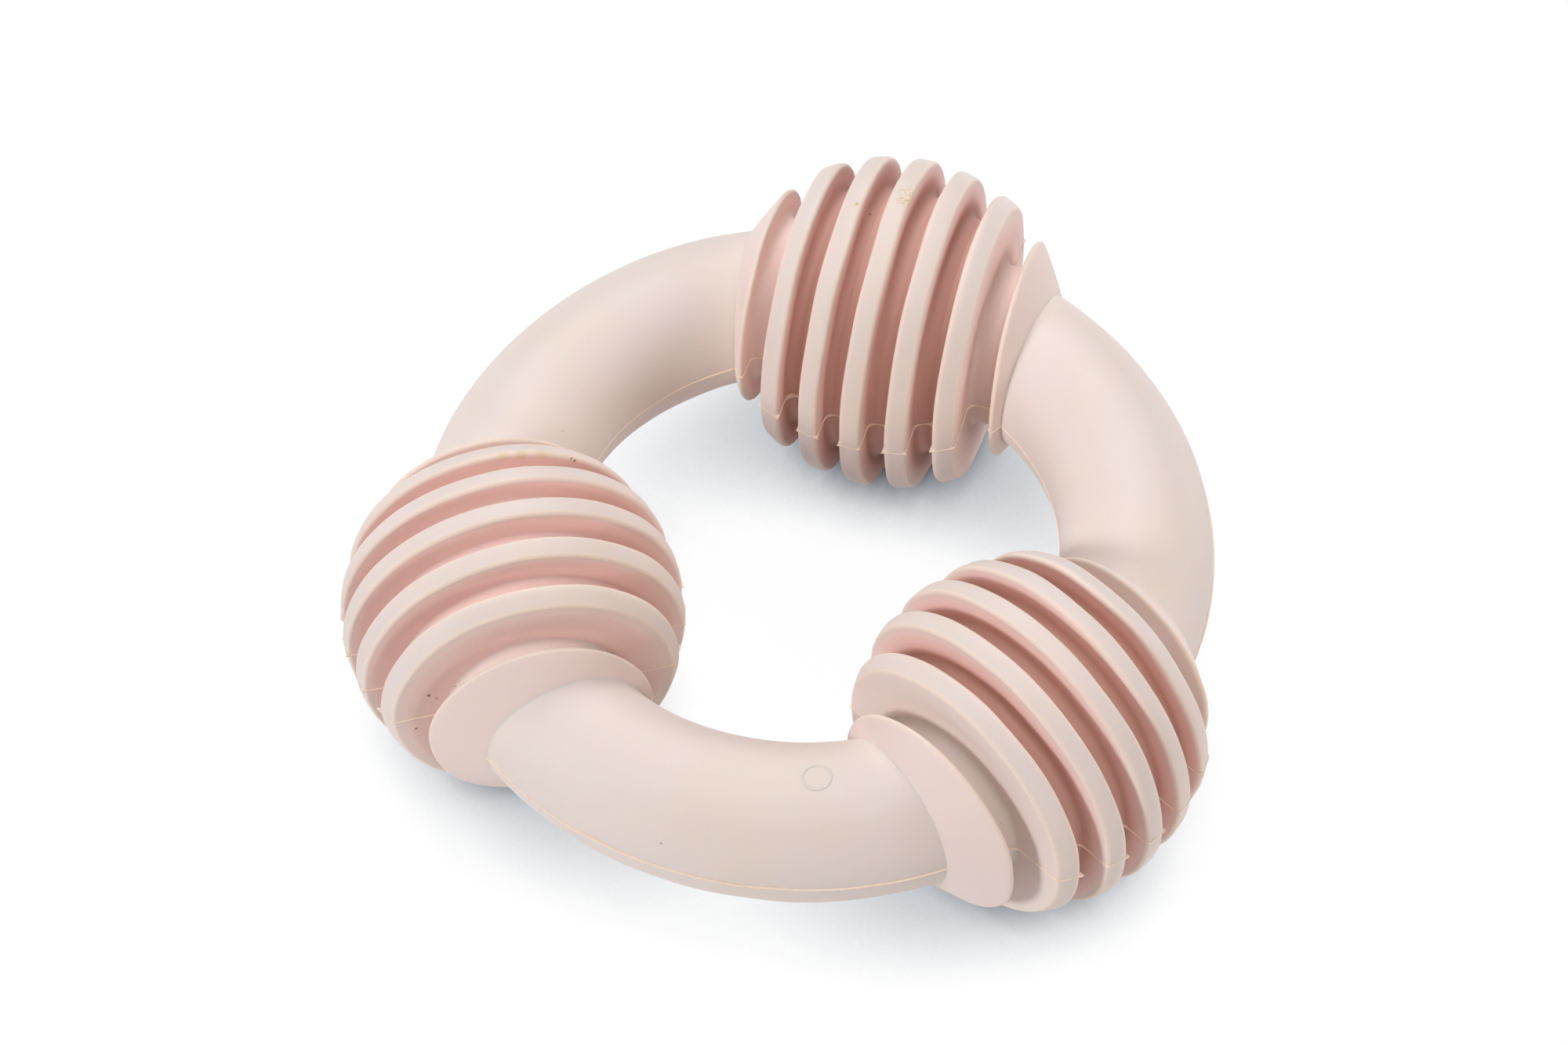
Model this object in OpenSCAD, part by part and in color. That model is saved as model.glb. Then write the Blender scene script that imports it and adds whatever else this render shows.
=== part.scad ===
// Teething ring of soft rubber: three round arms join three ribbed balls.
// The real ring is one moulding, and each node here is one region of it. Neighbours meet
// face to face, on the flat wall or the cone where one form ends and the next begins.
// Millimetres. The origin is the middle of the ring, half way up, with +Z up and one
// ball on +Y. Every ball's ribs stack along a line that touches the ring's circle.

/* [Ring] */
// Distance from the middle of the ring to the middle of an arm
ring_r = 43.5; // [41:0.1:55]
// How far the middle of a ball sits inside the circle of the arms
ball_inset = 2.6; // [1:0.1:4]

/* [Arms] */
// Diameter of an arm
arm_d = 20.5; // [17:0.1:23]
// Radius that an arm is bent to
arm_bend_r = 42.7; // [39:0.1:55]

/* [Balls] */
// Diameter of a ball over its middle rib
ball_d = 45.6; // [42:0.1:49]
// Radius of the arc that the rims of the ribs follow along a ball
ball_bow_r = 25.3; // [23:0.1:32]
// Radius of the arc that the floors of the grooves between the ribs follow along a ball
core_bow_r = 20.5; // [18.5:0.1:30]
// Diameter of the neck between a ball's last rib and a collar
neck_d = 22; // [18:0.1:24]
// Length of that neck
neck_len = 3.7; // [3:0.1:4.5]

/* [Ribs] */
// Distance from one rib to the next
rib_pitch = 6.1; // [5.2:0.05:6.4]
// Thickness of a rib
rib_t = 2.9; // [1.6:0.05:3.6]
// Height of the middle rib above the floors of the grooves, half way along a ball
rib_h = 4.7; // [2.6:0.1:6.4]
// Rounding of the two edges of a rib's rim
rib_edge_r = 0.35; // [0.2:0.05:0.6]
// Rounding where a wall meets the floor of a groove or a neck
groove_root_r = 1; // [0.4:0.05:1.2]

/* [Collars] */
// Diameter of a collar over its rounded edge
collar_d = 29.5; // [26:0.1:33]
// Radius of that edge, where the collar's cone turns into the wall that faces the ball
collar_edge_r = 0.4; // [0.2:0.05:0.6]
// Angle between a collar's cone and the line through its ball
collar_cone_angle = 60; // [50:1:68]
// Diameter of the blunt end of a collar's cone, inside the arm
collar_end_d = 10; // [6:0.1:12]

/* [Hidden] */

// Directions from the middle of the ring, in degrees anticlockwise from +X, seen from above
back_ball_angle = 90;
left_ball_angle = 210;
right_ball_angle = 330;
front_arm_angle = 270;
left_arm_angle = 150;
right_arm_angle = 30;
ball_to_arm_angle = 60;

// Places along a ball, from its middle to the arm
ribs_each_side = 2;
middle_rib = ribs_each_side + 1;
ball_ring_r = ring_r - ball_inset;
core_d = ball_d - 2 * rib_h;
groove_w = rib_pitch - rib_t;
last_rib_z = ribs_each_side * rib_pitch + rib_t / 2;
collar_z = last_rib_z + neck_len;

// Radius at which the cone would meet the wall if its edge were sharp, and its far end
collar_edge_half_angle = (90 - collar_cone_angle) / 2;
collar_sharp_r = collar_d / 2 - collar_edge_r + collar_edge_r / tan(collar_edge_half_angle);
collar_end_z = collar_z + (collar_sharp_r - collar_end_d / 2) / tan(collar_cone_angle);

// Roundings, kept within the rim and the groove that carry them
rib_edge = min(rib_edge_r, rib_t / 6);
groove_root = min(groove_root_r, 0.4 * groove_w);

rim_steps = 3;
corner_steps = 4;
$fn = 96;

rubber = "#E8D0C9";
rubber_in_grooves = "#D9B3AC";

function unit(v) = v / norm(v);

// Radius at height z of an arc that bows out to top_r half way along the ball
function bowed(top_r, bow_r, z) = top_r - bow_r + sqrt(bow_r * bow_r - z * z);

// Points of the arc that rounds the corner b on the way from a to c
function rounded(a, b, c, r) =
    let (
        u = unit(a - b),
        v = unit(c - b),
        half = acos(u * v) / 2,
        middle = b + unit(u + v) * r / sin(half),
        first = b + u * r / tan(half) - middle,
        last = b + v * r / tan(half) - middle
    )
    [for (i = [0:corner_steps])
        let (t = i / corner_steps) middle + r * unit(first * (1 - t) + last * t)];

// Evenly spaced points on the bowed arc from height low to height high
function bowed_points(top_r, bow_r, low, high) =
    [for (i = [0:rim_steps])
        let (z = low + (high - low) * i / rim_steps) [bowed(top_r, bow_r, z), z]];

// Points of a list without its first and its last
function inner(points) = [for (i = [1:len(points) - 2]) points[i]];

// Half section of a full disc whose rim follows the ball, with rounded edges
function rib_outline(z) =
    let (
        low = z - rib_t / 2,
        high = z + rib_t / 2,
        rim = bowed_points(ball_d / 2, ball_bow_r, low, high)
    )
    concat(
        [[0, low]],
        rounded([0, low], rim[0], rim[1], rib_edge),
        inner(rim),
        rounded(rim[rim_steps - 1], rim[rim_steps], [0, high], rib_edge),
        [[0, high]]
    );

// Where the wall at height z meets the floor of a groove between two ribs
function foot(z) = [bowed(core_d / 2, core_bow_r, z), z];

// Half section between two walls, hollowed where the floor from foot a to foot b meets each
function floor_outline(a, b) =
    let (rise = [b.y - a.y, 0])
    concat(
        [[0, a.y]],
        rounded(a + rise, a, b, groove_root),
        rounded(a, b, b + rise, groove_root),
        [[0, b.y]]
    );

// Half section of a collar: the groove's wall, the rounded edge and the cone into the arm
function collar_outline() =
    let (
        edge = [collar_sharp_r, collar_z],
        end = [collar_end_d / 2, collar_end_z]
    )
    concat(
        [[0, collar_z]],
        rounded([0, collar_z], edge, end, collar_edge_r),
        [end, [0, collar_end_z]]
    );

// Stands children on a ball, with their Z along it, anticlockwise round the ring
module on_ball(direction) {
    rotate([0, 0, direction])
        translate([ball_ring_r, 0, 0])
            rotate([-90, 0, 0])
                children();
}

module rib(direction, place) {
    color(rubber)
        on_ball(direction)
            rotate_extrude()
                polygon(rib_outline(place * rib_pitch));
}

// What fills a ball between its walls: a drum in each groove and a neck at each end
module core(direction) {
    half_t = rib_t / 2;
    color(rubber_in_grooves)
        on_ball(direction) {
            for (i = [-ribs_each_side:ribs_each_side - 1])
                rotate_extrude()
                    polygon(floor_outline(
                        foot(i * rib_pitch + half_t),
                        foot((i + 1) * rib_pitch - half_t)
                    ));
            for (end = [0, 1])
                mirror([0, 0, end])
                    rotate_extrude()
                        polygon(floor_outline(
                            [neck_d / 2, last_rib_z],
                            [neck_d / 2, collar_z]
                        ));
        }
}

// side is 1 at a ball's anticlockwise end and -1 at its clockwise end
module collar(direction, side) {
    color(rubber)
        on_ball(direction)
            mirror([0, 0, side < 0 ? 1 : 0])
                rotate_extrude()
                    polygon(collar_outline());
}

// The room that a ball and its two collar cones take out of the arms
module ball_seat() {
    rotate_extrude()
        polygon([
            [0, -collar_end_z], [collar_end_d / 2, -collar_end_z],
            [collar_sharp_r, -collar_z], [ball_d / 2, -collar_z],
            [ball_d / 2, collar_z], [collar_sharp_r, collar_z],
            [collar_end_d / 2, collar_end_z], [0, collar_end_z]
        ]);
}

// A bent round bar between two balls, cupped at each end over a collar's cone
module arm(direction) {
    bend_x = ring_r - arm_bend_r;
    turn = ball_to_arm_angle;
    root_x = ball_ring_r * cos(turn) + last_rib_z * sin(turn);
    root_y = ball_ring_r * sin(turn) - last_rib_z * cos(turn);
    half_bend = atan2(root_y, root_x - bend_x);
    color(rubber)
        difference() {
            rotate([0, 0, direction])
                translate([bend_x, 0, 0])
                    rotate([0, 0, -half_bend])
                        rotate_extrude(angle = 2 * half_bend)
                            translate([arm_bend_r, 0])
                                circle(d = arm_d);
            on_ball(direction - turn) ball_seat();
            on_ball(direction + turn) ball_seat();
        }
}

arm(front_arm_angle);  // arm_front
arm(left_arm_angle);  // arm_left
arm(right_arm_angle);  // arm_right
core(back_ball_angle);  // core_back
core(left_ball_angle);  // core_left
core(right_ball_angle);  // core_right
collar(back_ball_angle, 1);  // collar_back_left
collar(back_ball_angle, -1);  // collar_back_right
collar(left_ball_angle, -1);  // collar_left_back
collar(left_ball_angle, 1);  // collar_left_front
collar(right_ball_angle, -1);  // collar_right_front
collar(right_ball_angle, 1);  // collar_right_back
for (number = [1:5]) {
    rib(back_ball_angle, number - middle_rib);
    rib(left_ball_angle, number - middle_rib);
    rib(right_ball_angle, number - middle_rib);
}
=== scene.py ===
"""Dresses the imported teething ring: one moulding of soft, pale pink rubber.

Metres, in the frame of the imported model. The origin is the middle of the ring, half way
up, +Z is up and one ball is on +Y. A ball's own frame has its Z along the line that its
ribs stack on, anticlockwise round the ring, and its X away from the middle of the ring.
"""

import logging
import math
import random
from collections.abc import Callable
from dataclasses import dataclass
from enum import Enum

import bmesh
import bpy
from mathutils import Matrix, Vector, noise

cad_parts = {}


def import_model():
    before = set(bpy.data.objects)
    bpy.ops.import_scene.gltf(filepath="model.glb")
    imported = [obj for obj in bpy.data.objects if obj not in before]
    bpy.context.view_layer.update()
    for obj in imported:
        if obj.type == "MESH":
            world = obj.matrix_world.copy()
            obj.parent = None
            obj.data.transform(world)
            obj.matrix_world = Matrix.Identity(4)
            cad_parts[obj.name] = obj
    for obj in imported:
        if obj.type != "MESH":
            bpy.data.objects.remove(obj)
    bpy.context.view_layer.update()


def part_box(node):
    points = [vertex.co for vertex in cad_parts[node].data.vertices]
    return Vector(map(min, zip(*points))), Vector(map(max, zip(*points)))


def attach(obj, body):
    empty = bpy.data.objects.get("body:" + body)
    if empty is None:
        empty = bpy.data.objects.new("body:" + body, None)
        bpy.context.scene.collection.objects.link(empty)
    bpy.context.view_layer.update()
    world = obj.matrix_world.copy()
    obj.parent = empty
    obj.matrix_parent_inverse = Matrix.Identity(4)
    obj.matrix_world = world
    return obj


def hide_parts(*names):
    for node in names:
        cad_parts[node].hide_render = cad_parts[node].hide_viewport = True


Mesh = bmesh.types.BMesh
Vert = bmesh.types.BMVert
Tree = bpy.types.NodeTree
Socket = bpy.types.NodeSocket
Material = bpy.types.Material
Flare = tuple[float, float, list[Vector]]

MM = 0.001
BODY = "root"
# Vertex attributes: depth in a groove, which sets the painted shade there, and nearness to a
# rounded edge, which sets the painted highlight along it
GROOVE_SHADE = "groove"
EDGE_HIGHLIGHT = "edge"
WHITE = "#FFFFFF"

# Blender seeds its vector noise by the clock unless it is given a number
NOISE_SEED = 5

# Points of a spun outline that are closer than this are one
MERGE = 0.0001 * MM

# Angle round the ring between a ball and the arm next to it
BALL_TO_ARM = math.radians(60)

# Sockets of the Mix node that carry its share and its colours, and its colour output
MIX_SHARE = 0
MIX_A = 6
MIX_B = 7
MIX_COLOUR = 2

log = logging.getLogger("teething_ring")


@dataclass(frozen=True)
class Cast:
    """What differs from ball to ball.

    The angle is from +X, seen from above. The swell is how much larger the ball came out
    of the mould than the smallest. The two painted shades are how strongly a darker, pinker
    painted shade is laid at the bottom of the grooves and in the open gaps before the
    collars. The collars' packed names are in the order of Side.
    """

    angle: float
    swell: float
    most_painted_shade: float
    neck_painted_shade: float
    collars: tuple[str, str]


class Ball(Enum):
    """The three ribbed balls."""

    # The two numbers before the collars' names set how strong each ball's painted groove shade is
    BACK = Cast(90.0, 1.006, 1.0, 0.36, ("collar_back_left", "collar_back_right"))
    LEFT = Cast(210.0, 1.0, 0.38, 0.3, ("collar_left_front", "collar_left_back"))
    RIGHT = Cast(330.0, 1.014, 1.0, 0.12, ("collar_right_back", "collar_right_front"))


class Side(Enum):
    """The two ends of a ball."""

    ANTICLOCKWISE = 1
    CLOCKWISE = -1


class Bar(Enum):
    """The three arms, with the angle of each from +X, seen from above."""

    FRONT = 270.0
    LEFT = 150.0
    RIGHT = 30.0


class Face(Enum):
    """The two sides of the ring that the mould's seam runs along."""

    OUTER = 1.0
    INNER = -1.0


def clamped(share: float) -> float:
    """The share, kept within 0 and 1."""
    return min(max(share, 0.0), 1.0)


@dataclass(frozen=True)
class Moulding:
    """The sizes that balls, arms and seam share, in metres."""

    ball_ring_r: float
    ball_r: float
    rib_pitch: float
    rib_t: float
    collar_r: float
    arm_r: float
    ball_bow_r: float = 25.3 * MM
    floor_r: float = 18.1 * MM
    floor_bow_r: float = 20.5 * MM
    neck_r: float = 11 * MM
    neck_len: float = 3.7 * MM
    rib_edge_r: float = 0.55 * MM
    root_r: float = 1.0 * MM
    nose_r: float = 0.4 * MM
    flank_angle: float = math.radians(60)
    flank_bow: float = 0.25 * MM
    flank_end_r: float = 5 * MM
    bend_r: float = 42.7 * MM
    bend_x: float = 0.8 * MM
    ribs_each_side: int = 2
    groove_depth: float = 4.7 * MM
    edge_highlight_width: float = 0.27 * MM
    edge_highlight_reach: float = 0.5 * MM

    @classmethod
    def from_frame(cls) -> "Moulding":
        """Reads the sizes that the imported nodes' boxes tell."""
        middle_low, middle_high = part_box("rib_back_3")
        next_low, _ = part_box("rib_back_4")
        collar_low, collar_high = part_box("collar_back_left")
        arm_low, arm_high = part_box("arm_front")
        return cls(
            ball_ring_r=(middle_low.y + middle_high.y) / 2,
            ball_r=(middle_high.z - middle_low.z) / 2,
            rib_pitch=middle_low.x - next_low.x,
            rib_t=middle_high.x - middle_low.x,
            collar_r=(collar_high.z - collar_low.z) / 2,
            arm_r=(arm_high.z - arm_low.z) / 2,
        )

    @property
    def last_rib_z(self) -> float:
        """Height along the ball of the last rib's outer wall."""
        return self.ribs_each_side * self.rib_pitch + self.rib_t / 2

    @property
    def collar_z(self) -> float:
        """Height along the ball of a collar's wall."""
        return self.last_rib_z + self.neck_len

    @property
    def floor_z(self) -> float:
        """Height of what the ring lies on."""
        return -self.ball_r

    def rim(self, z: float) -> float:
        """Radius of the ball's outline at a height along it."""
        return self.ball_r - self.ball_bow_r + math.sqrt(self.ball_bow_r**2 - z * z)

    def floor(self, z: float) -> float:
        """Radius of a groove's or a neck's floor at a height along the ball."""
        if abs(z) > self.ribs_each_side * self.rib_pitch:
            return self.neck_r
        return self.floor_r - self.floor_bow_r + math.sqrt(self.floor_bow_r**2 - z * z)

    def ball_place(self, ball: Ball) -> Matrix:
        """Matrix from a ball's own frame to the ring's."""
        turn = Matrix.Rotation(math.radians(ball.value.angle), 4, "Z")
        shift = Matrix.Translation((self.ball_ring_r, 0, 0))
        lay = Matrix.Rotation(-math.pi / 2, 4, "X")
        return turn @ shift @ lay @ Matrix.Scale(ball.value.swell, 4)

    def sunk(self, point: Vector) -> float:
        """How deep a place lies in a groove: 0 on the outside, 1 at its bottom. It sets the painted
        shade there.
        """
        return clamped((self.rim(point.y) - point.x) / self.groove_depth)

    def on_edge(self, distance: float) -> float:
        """How much a place belongs to an edge's painted highlight, by its distance from the edge's
        middle.
        """
        return clamped((self.edge_highlight_reach - distance) / self.edge_highlight_width)

    def on_rim(self, z: float) -> Vector:
        """Point of the ball's outline at a height along it."""
        return Vector((self.rim(z), z))

    def on_floor(self, z: float) -> Vector:
        """Point of a groove's or a neck's floor at a height along the ball."""
        return Vector((self.floor(z), z))

    def on_flank(self, z: float) -> Vector:
        """Point of a collar's cone at a height along the ball."""
        return Vector((self.flank(z), z))

    @property
    def sharp_r(self) -> float:
        """Radius at which a collar's wall and cone would meet in a sharp edge."""
        half_corner = (math.pi / 2 - self.flank_angle) / 2
        return self.collar_r - self.nose_r + self.nose_r / math.tan(half_corner)

    @property
    def flank_end_z(self) -> float:
        """Height along the ball at which a collar's cone ends, inside the arm."""
        return self.collar_z + (self.sharp_r - self.flank_end_r) / math.tan(self.flank_angle)

    def flank(self, z: float) -> float:
        """Radius of a collar's slightly rounded cone at a height along the ball."""
        share = (z - self.collar_z) / (self.flank_end_z - self.collar_z)
        bow = 4 * self.flank_bow * share * (1 - share) / math.cos(self.flank_angle)
        return self.sharp_r - (z - self.collar_z) * math.tan(self.flank_angle) + bow


def arc(a: Vector, b: Vector, c: Vector, radius: float, steps: int) -> list[Vector]:
    """Rounds the corner b on the way from a to c.

    Args:
        a: Point before the corner.
        b: The sharp corner.
        c: Point after the corner.
        radius: Radius of the rounding.
        steps: Number of chords.

    Returns:
        The points of the rounding, first and last included.
    """
    u = (a - b).normalized()
    v = (c - b).normalized()
    half = u.angle(v) / 2
    middle = b + (u + v).normalized() * radius / math.sin(half)
    first = b + u * radius / math.tan(half) - middle
    last = b + v * radius / math.tan(half) - middle
    return [middle + first.slerp(last, i / steps) * radius for i in range(steps + 1)]


def between(a: float, b: float, steps: int) -> list[float]:
    """Even values from a to b, both included."""
    return [a + (b - a) * i / steps for i in range(steps + 1)]


def spun(outline: list[Vector], steps: int) -> Mesh:
    """Turns a half section into a closed solid.

    Args:
        outline: Points as radius and height, from the axis and back to it, or round a loop.
        steps: Number of steps in the full turn.

    Returns:
        A closed mesh about the Z axis with its faces outwards.
    """
    bm = bmesh.new()
    verts = [bm.verts.new((p.x, 0.0, p.y)) for p in outline]
    edges = [bm.edges.new(pair) for pair in zip(verts, verts[1:])]
    bmesh.ops.spin(
        bm,
        geom=verts + edges,
        cent=(0, 0, 0),
        axis=(0, 0, 1),
        angle=2 * math.pi,
        steps=steps,
        use_merge=True,
        use_duplicate=False,
    )
    bmesh.ops.remove_doubles(bm, verts=bm.verts, dist=MERGE)
    bmesh.ops.recalc_face_normals(bm, faces=bm.faces)
    return bm


def extruded(bm: Mesh, chain: list[Vert], closed: bool = False) -> list[Vert]:
    """Extrudes a chain of joined vertices by one row, and tells the new ones in its order."""
    following = chain[1:] + chain[:1] if closed else chain[1:]
    edges = [bm.edges.get(pair) for pair in zip(chain, following)]
    made = bmesh.ops.extrude_edge_only(bm, edges=edges)["geom"]
    fresh = {v for v in made if isinstance(v, Vert)}
    return [next(e.other_vert(v) for e in v.link_edges if e.other_vert(v) in fresh) for v in chain]


def placed(name: str, data: bpy.types.ID) -> bpy.types.Object:
    """Makes an object and links it to the scene."""
    made = bpy.data.objects.new(name, data)
    bpy.context.scene.collection.objects.link(made)
    return made


def direction(azimuth: float, elevation: float) -> Vector:
    """Way out from the middle of the ring, by its angle from +X and its angle upwards."""
    flat = math.cos(elevation)
    return Vector((flat * math.cos(azimuth), flat * math.sin(azimuth), math.sin(elevation)))


@dataclass(frozen=True)
class Unevenness:
    """The slow waver of a hand-trimmed rubber moulding, the same for all its forms."""

    floor_z: float
    reach: float = 0.16 * MM
    wavelength: float = 9 * MM

    def apply(self, bm: Mesh) -> None:
        """Moves every vertex of a mesh, and none of them below the floor."""
        for vert in bm.verts:
            vert.co += noise.noise_vector(vert.co / self.wavelength) * self.reach
            vert.co.z = max(vert.co.z, self.floor_z)


@dataclass(frozen=True)
class Workshop:
    """Turns finished meshes into pieces that ride on the ring."""

    unevenness: Unevenness
    rubber: Material
    lip: Material
    sharp_angle: float = math.radians(50)

    def piece(self, name: str, bm: Mesh, finish: Material, nodes: tuple[str, ...] = ()) -> None:
        """Makes a piece from a mesh and puts it on the ring.

        Args:
            name: The piece's name.
            bm: Its mesh, in the ring's frame. It is freed here.
            finish: Its material.
            nodes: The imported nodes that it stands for.
        """
        self.unevenness.apply(bm)
        mesh = bpy.data.meshes.new(name)
        bm.to_mesh(mesh)
        bm.free()
        mesh.shade_smooth()
        mesh.set_sharp_from_angle(angle=self.sharp_angle)
        mesh.materials.append(finish)
        piece = placed(name, mesh)
        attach(piece, BODY)
        if nodes:
            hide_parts(*nodes)
        log.info("%s: %d faces", name, len(mesh.polygons))

    def dress(self, node: str, bm: Mesh) -> None:
        """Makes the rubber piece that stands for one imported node."""
        self.piece(f"{node}_rubber", bm, self.rubber, (node,))


@dataclass(frozen=True)
class RibbedBall:
    """A ball of five discs on a waisted core, with a collar at each end."""

    ball: Ball
    sizes: Moulding
    turn_steps: int = 224
    edge_steps: int = 6
    root_steps: int = 8
    wall_steps: int = 5
    rim_steps: int = 4
    floor_steps: int = 3
    flank_steps: int = 14
    nose_share: float = 0.12
    support: float = 0.12 * MM
    overlap: float = 0.4 * MM
    cone_share: float = 0.15

    def rib(self, place: int) -> Mesh:
        """Builds a disc whose rim follows the ball, counted from 0 in the middle."""
        size = self.sizes
        z = place * size.rib_pitch
        low = z - size.rib_t / 2
        high = z + size.rib_t / 2
        low_side = self.rib_side(low, high)
        high_side = self.rib_side(high, low)
        start = low_side[-1].y + self.support
        stop = high_side[-1].y - self.support
        rim = [size.on_rim(h) for h in between(start, stop, self.rim_steps)]
        middle = -1 - self.edge_steps // 2
        return self.solid(
            [Vector((0, low)), *low_side, *rim, *reversed(high_side), Vector((0, high))],
            lambda point: self.wall_painted_shade(point, z),
            (low_side[middle], high_side[middle]),
        )

    def rib_side(self, z: float, other_z: float) -> list[Vector]:
        """Points of a rib's wall, from its foot up, and of the rounded edge above it."""
        size = self.sizes
        foot = size.on_floor(z) - Vector((size.root_r, 0))
        rim = size.on_rim(z)
        edge = arc(foot, rim, size.on_rim(other_z), size.rib_edge_r, self.edge_steps)
        return [*self.wall(foot.x, edge[0].x, z), *edge]

    def wall_painted_shade(self, point: Vector, rib_z: float) -> float:
        """Painted shade on a rib: how deep it lies in a groove, or in the open gap before a collar.
        """
        size = self.sizes
        share = size.sunk(point)
        outer = abs(point.y) > size.last_rib_z - self.overlap and abs(point.y) > abs(rib_z)
        return min(share, self.ball.value.neck_painted_shade) if outer else share

    def wall(self, foot: float, top: float, z: float) -> list[Vector]:
        """Points of a flat wall from its foot to just under its rounded edge."""
        radii = between(foot, top - self.support, self.wall_steps)
        return [Vector((radius, z)) for radius in radii]

    def core(self) -> Mesh:
        """Builds the waisted core, whose skin is the grooves' floors, through all the ribs."""
        size = self.sizes
        count = size.ribs_each_side
        half_t = size.rib_t / 2
        walls = [
            (-size.collar_z, -size.last_rib_z),
            *(
                (i * size.rib_pitch + half_t, (i + 1) * size.rib_pitch - half_t)
                for i in range(-count, count)
            ),
            (size.last_rib_z, size.collar_z),
        ]
        outline = [Vector((0, -size.collar_z - self.overlap))]
        for low, high in walls:
            outline += self.groove(low, high)
        outline.append(Vector((0, size.collar_z + self.overlap)))
        return self.solid(outline, self.core_painted_shade)

    def core_painted_shade(self, point: Vector) -> float:
        """Painted shade on the core: how deep a place lies in a groove. The open necks count less.
        """
        size = self.sizes
        if abs(point.y) > size.last_rib_z - self.overlap:
            return self.ball.value.neck_painted_shade / 2
        return size.sunk(point)

    def groove(self, low: float, high: float) -> list[Vector]:
        """Points of the floor between two walls, which sweeps up into each of them."""
        size = self.sizes
        rise = Vector((high - low, 0))
        low_foot = size.on_floor(low)
        high_foot = size.on_floor(high)
        low_arc = arc(low_foot + rise, low_foot, high_foot, size.root_r, self.root_steps)
        high_arc = arc(low_foot, high_foot, high_foot + rise, size.root_r, self.root_steps)
        start = low_arc[0] + Vector((self.overlap / 4, -self.overlap / 2))
        stop = high_arc[-1] + Vector((self.overlap / 4, self.overlap / 2))
        inner = between(
            low_arc[-1].y + self.support, high_arc[0].y - self.support, self.floor_steps
        )
        floor = [size.on_floor(h) for h in inner]
        under = rise / 4
        return [start - under, start, *low_arc, *floor, *high_arc, stop, stop - under]

    def collar(self, side: Side) -> Mesh:
        """Builds the collar at one end: wall, rounded nose and cone."""
        size = self.sizes
        foot = size.floor(size.collar_z) - size.root_r
        edge = Vector((size.sharp_r, size.collar_z))
        cone_z = size.collar_z + (size.flank_end_z - size.collar_z) * self.nose_share
        cone = size.on_flank(cone_z)
        nose = arc(Vector((foot, size.collar_z)), edge, cone, size.nose_r, self.edge_steps)
        wall = self.wall(foot, nose[0].x, size.collar_z)
        flank_z = between(nose[-1].y + self.support, size.flank_end_z, self.flank_steps)
        flank = [size.on_flank(h) for h in flank_z]
        return self.solid(
            [Vector((0, size.collar_z)), *wall, *nose, *flank, Vector((0, size.flank_end_z))],
            self.collar_painted_shade,
            (nose[self.edge_steps // 2],),
            mirrored=side is Side.CLOCKWISE,
        )

    def collar_painted_shade(self, point: Vector) -> float:
        """Painted shade on a collar: how deep it lies in the gap before it, and its cone's own
        share.
        """
        size = self.sizes
        if point.y < size.collar_z + size.nose_r:
            depth = clamped((size.collar_r - point.x) / size.groove_depth)
            return min(depth, self.ball.value.neck_painted_shade)
        return self.cone_share

    def solid(
        self,
        outline: list[Vector],
        groove: Callable[[Vector], float],
        edges: tuple[Vector, ...] = (),
        mirrored: bool = False,
    ) -> Mesh:
        """Spins an outline and stands the solid in its place on the ring.

        Args:
            outline: Half section, as radius and height along the ball.
            groove: Tells from radius and height how deep in a groove a place lies, which sets its
                painted shade.
            edges: Middles of the rounded edges, which carry a painted highlight.
            mirrored: Whether it is turned over to the clockwise end.

        Returns:
            The mesh in the ring's frame.
        """
        size = self.sizes
        bm = spun(outline, self.turn_steps)
        layers = bm.verts.layers.float
        layers.new(GROOVE_SHADE)
        layers.new(EDGE_HIGHLIGHT)
        sunk = layers[GROOVE_SHADE]
        edge_highlight = layers[EDGE_HIGHLIGHT]
        # Each vertex keeps its painted shade by groove depth and its painted highlight by nearness
        # to an edge
        for vert in bm.verts:
            point = Vector((vert.co.xy.length, vert.co.z))
            vert[sunk] = min(groove(point), self.ball.value.most_painted_shade)
            vert[edge_highlight] = max((size.on_edge((point - edge).length) for edge in edges), default=0.0)
        if mirrored:
            bmesh.ops.scale(bm, vec=(1, 1, -1), verts=bm.verts)
            bmesh.ops.recalc_face_normals(bm, faces=bm.faces)
        bmesh.ops.transform(bm, matrix=size.ball_place(self.ball), verts=bm.verts)
        return bm

    def build(self, workshop: Workshop) -> None:
        """Builds the ball's core, ribs and collars."""
        word = self.ball.name.lower()
        workshop.dress(f"core_{word}", self.core())
        count = self.sizes.ribs_each_side
        for place in range(-count, count + 1):
            workshop.dress(f"rib_{word}_{place + count + 1}", self.rib(place))
        for side, name in zip(Side, self.ball.value.collars):
            workshop.dress(name, self.collar(side))


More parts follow.
